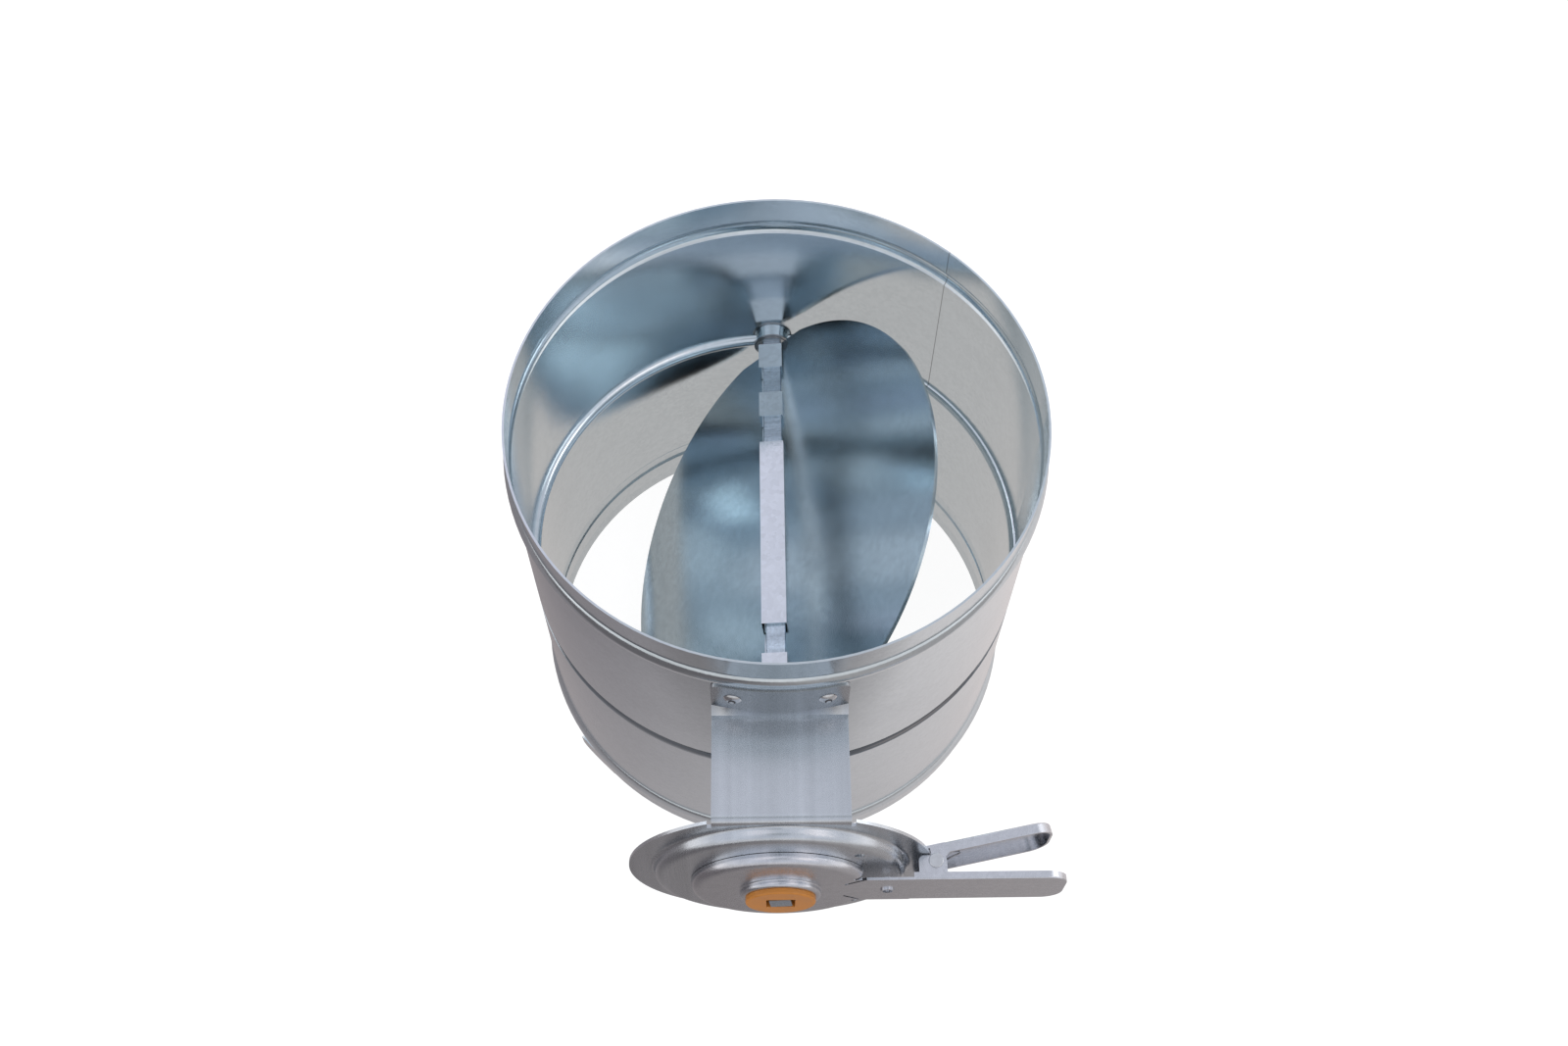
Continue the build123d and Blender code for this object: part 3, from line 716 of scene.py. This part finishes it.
rivet_head_reach = casing_radius + 2.45 * MM
rivet_tail_reach = casing_radius - 3.45 * MM
make_mandrels("rivet_mandrels", rivet_head_reach, False, 1.35 * MM, 0.85 * MM)
make_mandrels("rivet_tail_ends", rivet_tail_reach, True, 1.5 * MM, 1.1 * MM)
make_lap_tab()
spring_coil = spring_piece("spring_coil", False)
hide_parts("torsion_spring")
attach(spring_coil, "blade_and_handle")
spring_rear_leg = spring_piece("spring_rear_leg", True)
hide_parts("torsion_spring")
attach(spring_rear_leg, "clamp")


# ---------------------------------------------------------------- room, light and camera
def make_floor():
    """Pale table top: white to the camera with a soft shadow, a grey-beige painted glow in the metal."""
    half = 2.5
    mesh = bpy.data.meshes.new("table_top")
    corners = [(-half, -half, 0), (half, -half, 0), (half, half, 0), (-half, half, 0)]
    mesh.from_pydata(corners, [], [(0, 1, 2, 3)])
    floor = bpy.data.objects.new("table_top", mesh)
    bpy.context.collection.objects.link(floor)
    material = bpy.data.materials.new("table_white")
    material.use_nodes = True
    tree = material.node_tree
    tree.nodes.clear()
    path = add_node(tree, "ShaderNodeLightPath")
    board = add_node(tree, "ShaderNodeBsdfDiffuse", None, {"Color": (0.70, 0.675, 0.64, 1)})
    shade = add_node(tree, "ShaderNodeBsdfDiffuse", None, {"Color": (0.22, 0.22, 0.22, 1)})
    glow = add_node(tree, "ShaderNodeEmission", None, {"Color": (1, 1, 1, 1), "Strength": 0.93})
    seen = add_node(tree, "ShaderNodeAddShader", None, {0: shade.outputs[0], 1: glow.outputs[0]})
    # in the metal the table is a painted glow with no shadow of its own: brighter to the right as painted light,
    # and darker in front of the dial
    place = add_node(tree, "ShaderNodeNewGeometry").outputs["Position"]
    parts = add_node(tree, "ShaderNodeSeparateXYZ", None, {0: place})
    across = remapped(tree, parts.outputs[0], -1.5 * casing_radius, 1.5 * casing_radius)
    left_tone, right_tone, under_tone = (
        (0.29, 0.26, 0.27, 1),
        (0.77, 0.71, 0.70, 1),
        (0.60, 0.56, 0.54, 1),
    )
    outside = mixed(tree, across, left_tone, right_tone)
    from_axis = maths(
        tree,
        "SQRT",
        maths(
            tree,
            "ADD",
            maths(tree, "POWER", parts.outputs[0], 2.0),
            maths(tree, "POWER", parts.outputs[1], 2.0),
        ),
    )
    beyond = maths(tree, "GREATER_THAN", from_axis, casing_radius)
    tone = mixed(tree, beyond, under_tone, outside)
    near = remapped(tree, parts.outputs[1], -1.65 * casing_radius, -1.2 * casing_radius, 0.58, 1.0)
    mirrored = add_node(tree, "ShaderNodeEmission", None, {"Color": tone, "Strength": near})
    metal = add_node(
        tree,
        "ShaderNodeMixShader",
        None,
        {0: path.outputs["Is Glossy Ray"], 1: board.outputs[0], 2: mirrored.outputs[0]},
    )
    mix = add_node(
        tree,
        "ShaderNodeMixShader",
        None,
        {0: path.outputs["Is Camera Ray"], 1: metal.outputs[0], 2: seen.outputs[0]},
    )
    add_node(tree, "ShaderNodeOutputMaterial", None, {"Surface": mix.outputs[0]})
    mesh.materials.append(material)


def toward(tree, direction, aim, low, high):
    """Mask that grows as a direction comes closer to aim: low and high are cosines."""
    aim = Vector(aim).normalized()
    alike = vector_maths(tree, "DOT_PRODUCT", direction, aim, "Value")
    return remapped(tree, alike, low, high)


def make_world():
    """White to the camera; around the metal a cool room, with bright panels and a dark front."""
    horizon_tone, front_tone = (1.10, 1.06, 1.06, 1), (0.72, 0.70, 0.70, 1)
    overhead_tone = (0.64, 0.66, 0.73, 1)
    world = bpy.data.worlds.new("room")
    bpy.context.scene.world = world
    world.use_nodes = True
    tree = world.node_tree
    tree.nodes.clear()
    direction = add_node(tree, "ShaderNodeTexCoord").outputs["Generated"]
    parts = add_node(tree, "ShaderNodeSeparateXYZ", None, {0: direction})
    front = remapped(tree, parts.outputs[1], -0.25, -0.7)
    horizon = mixed(tree, front, horizon_tone, front_tone)
    high = remapped(tree, parts.outputs[2], 0.10, 0.55)
    room = mixed(tree, high, horizon, overhead_tone)
    unevenness = noise(tree, direction, 3.2, 2.0)
    room = tinted(tree, room, remapped(tree, unevenness, 0.3, 0.7, 0.9, 1.22))
    # openings and panels that the metal mirrors: direction, colour, cosines of rim and middle
    panels = (
        ((-0.17, 0.475, 0.864), (0.82, 0.79, 0.90, 1), 0.970, 0.992),
        ((-0.32, -0.18, 0.93), (0.98, 0.95, 1.0, 1), 0.965, 0.985),
        ((0.52, -0.29, 0.80), (1.40, 1.30, 1.30, 1), 0.965, 0.985),
        ((-0.10, 0.87, 0.44), (1.25, 1.15, 1.15, 1), 0.93, 0.97),
        ((0.014, 0.345, 0.939), (0.64, 0.65, 0.71, 1), 0.980, 0.995),
        ((-0.01, -0.38, 0.92), (0.34, 0.37, 0.39, 1), 0.975, 0.993),
    )
    for aim, colour, rim, middle in panels:
        room = mixed(tree, toward(tree, direction, aim, rim, middle), room, colour)
    path = add_node(tree, "ShaderNodeLightPath")
    seen = mixed(tree, path.outputs["Is Camera Ray"], room, (1, 1, 1, 1))
    background = add_node(tree, "ShaderNodeBackground", None, {"Color": seen, "Strength": 1.0})
    add_node(tree, "ShaderNodeOutputWorld", None, {"Surface": background.outputs[0]})


def make_lamp(name, place, target, size, power, colour=(1, 1, 1)):
    """Soft rectangular lamp aimed at a point."""
    data = bpy.data.lights.new(name, "AREA")
    data.shape = "RECTANGLE"
    data.size, data.size_y = size
    data.energy = power
    data.color = colour
    lamp = bpy.data.objects.new(name, data)
    bpy.context.collection.objects.link(lamp)
    lamp.location = place
    lamp.rotation_euler = (Vector(target) - Vector(place)).to_track_quat("-Z", "Y").to_euler()
    return lamp


make_floor()
make_world()
centre = (0, 0, shaft_height)
make_lamp("window_left", (-0.9, 0.5, 1.1), centre, (0.7, 0.5), 2.6, (0.93, 0.97, 1.0))
make_lamp("lamp_right", (1.1, 0.2, 0.9), centre, (0.5, 0.7), 1.5, (1.0, 0.98, 0.95))
lamp_over = make_lamp("lamp_over", (0.1, 0.9, 1.3), centre, (0.9, 0.3), 3)
lamp_over.visible_glossy = False

camera_data = bpy.data.cameras.new("camera")
camera_data.sensor_width = 36.0
camera_data.lens = 37.29
camera = bpy.data.objects.new("camera", camera_data)
bpy.context.collection.objects.link(camera)
camera.location = Vector((-8.35, -318.98, 684.16)) * MM
camera.rotation_euler = Euler([math.radians(angle) for angle in (28.82, -0.674, -0.905)])
bpy.context.scene.camera = camera
bpy.context.scene.view_settings.view_transform = "Standard"
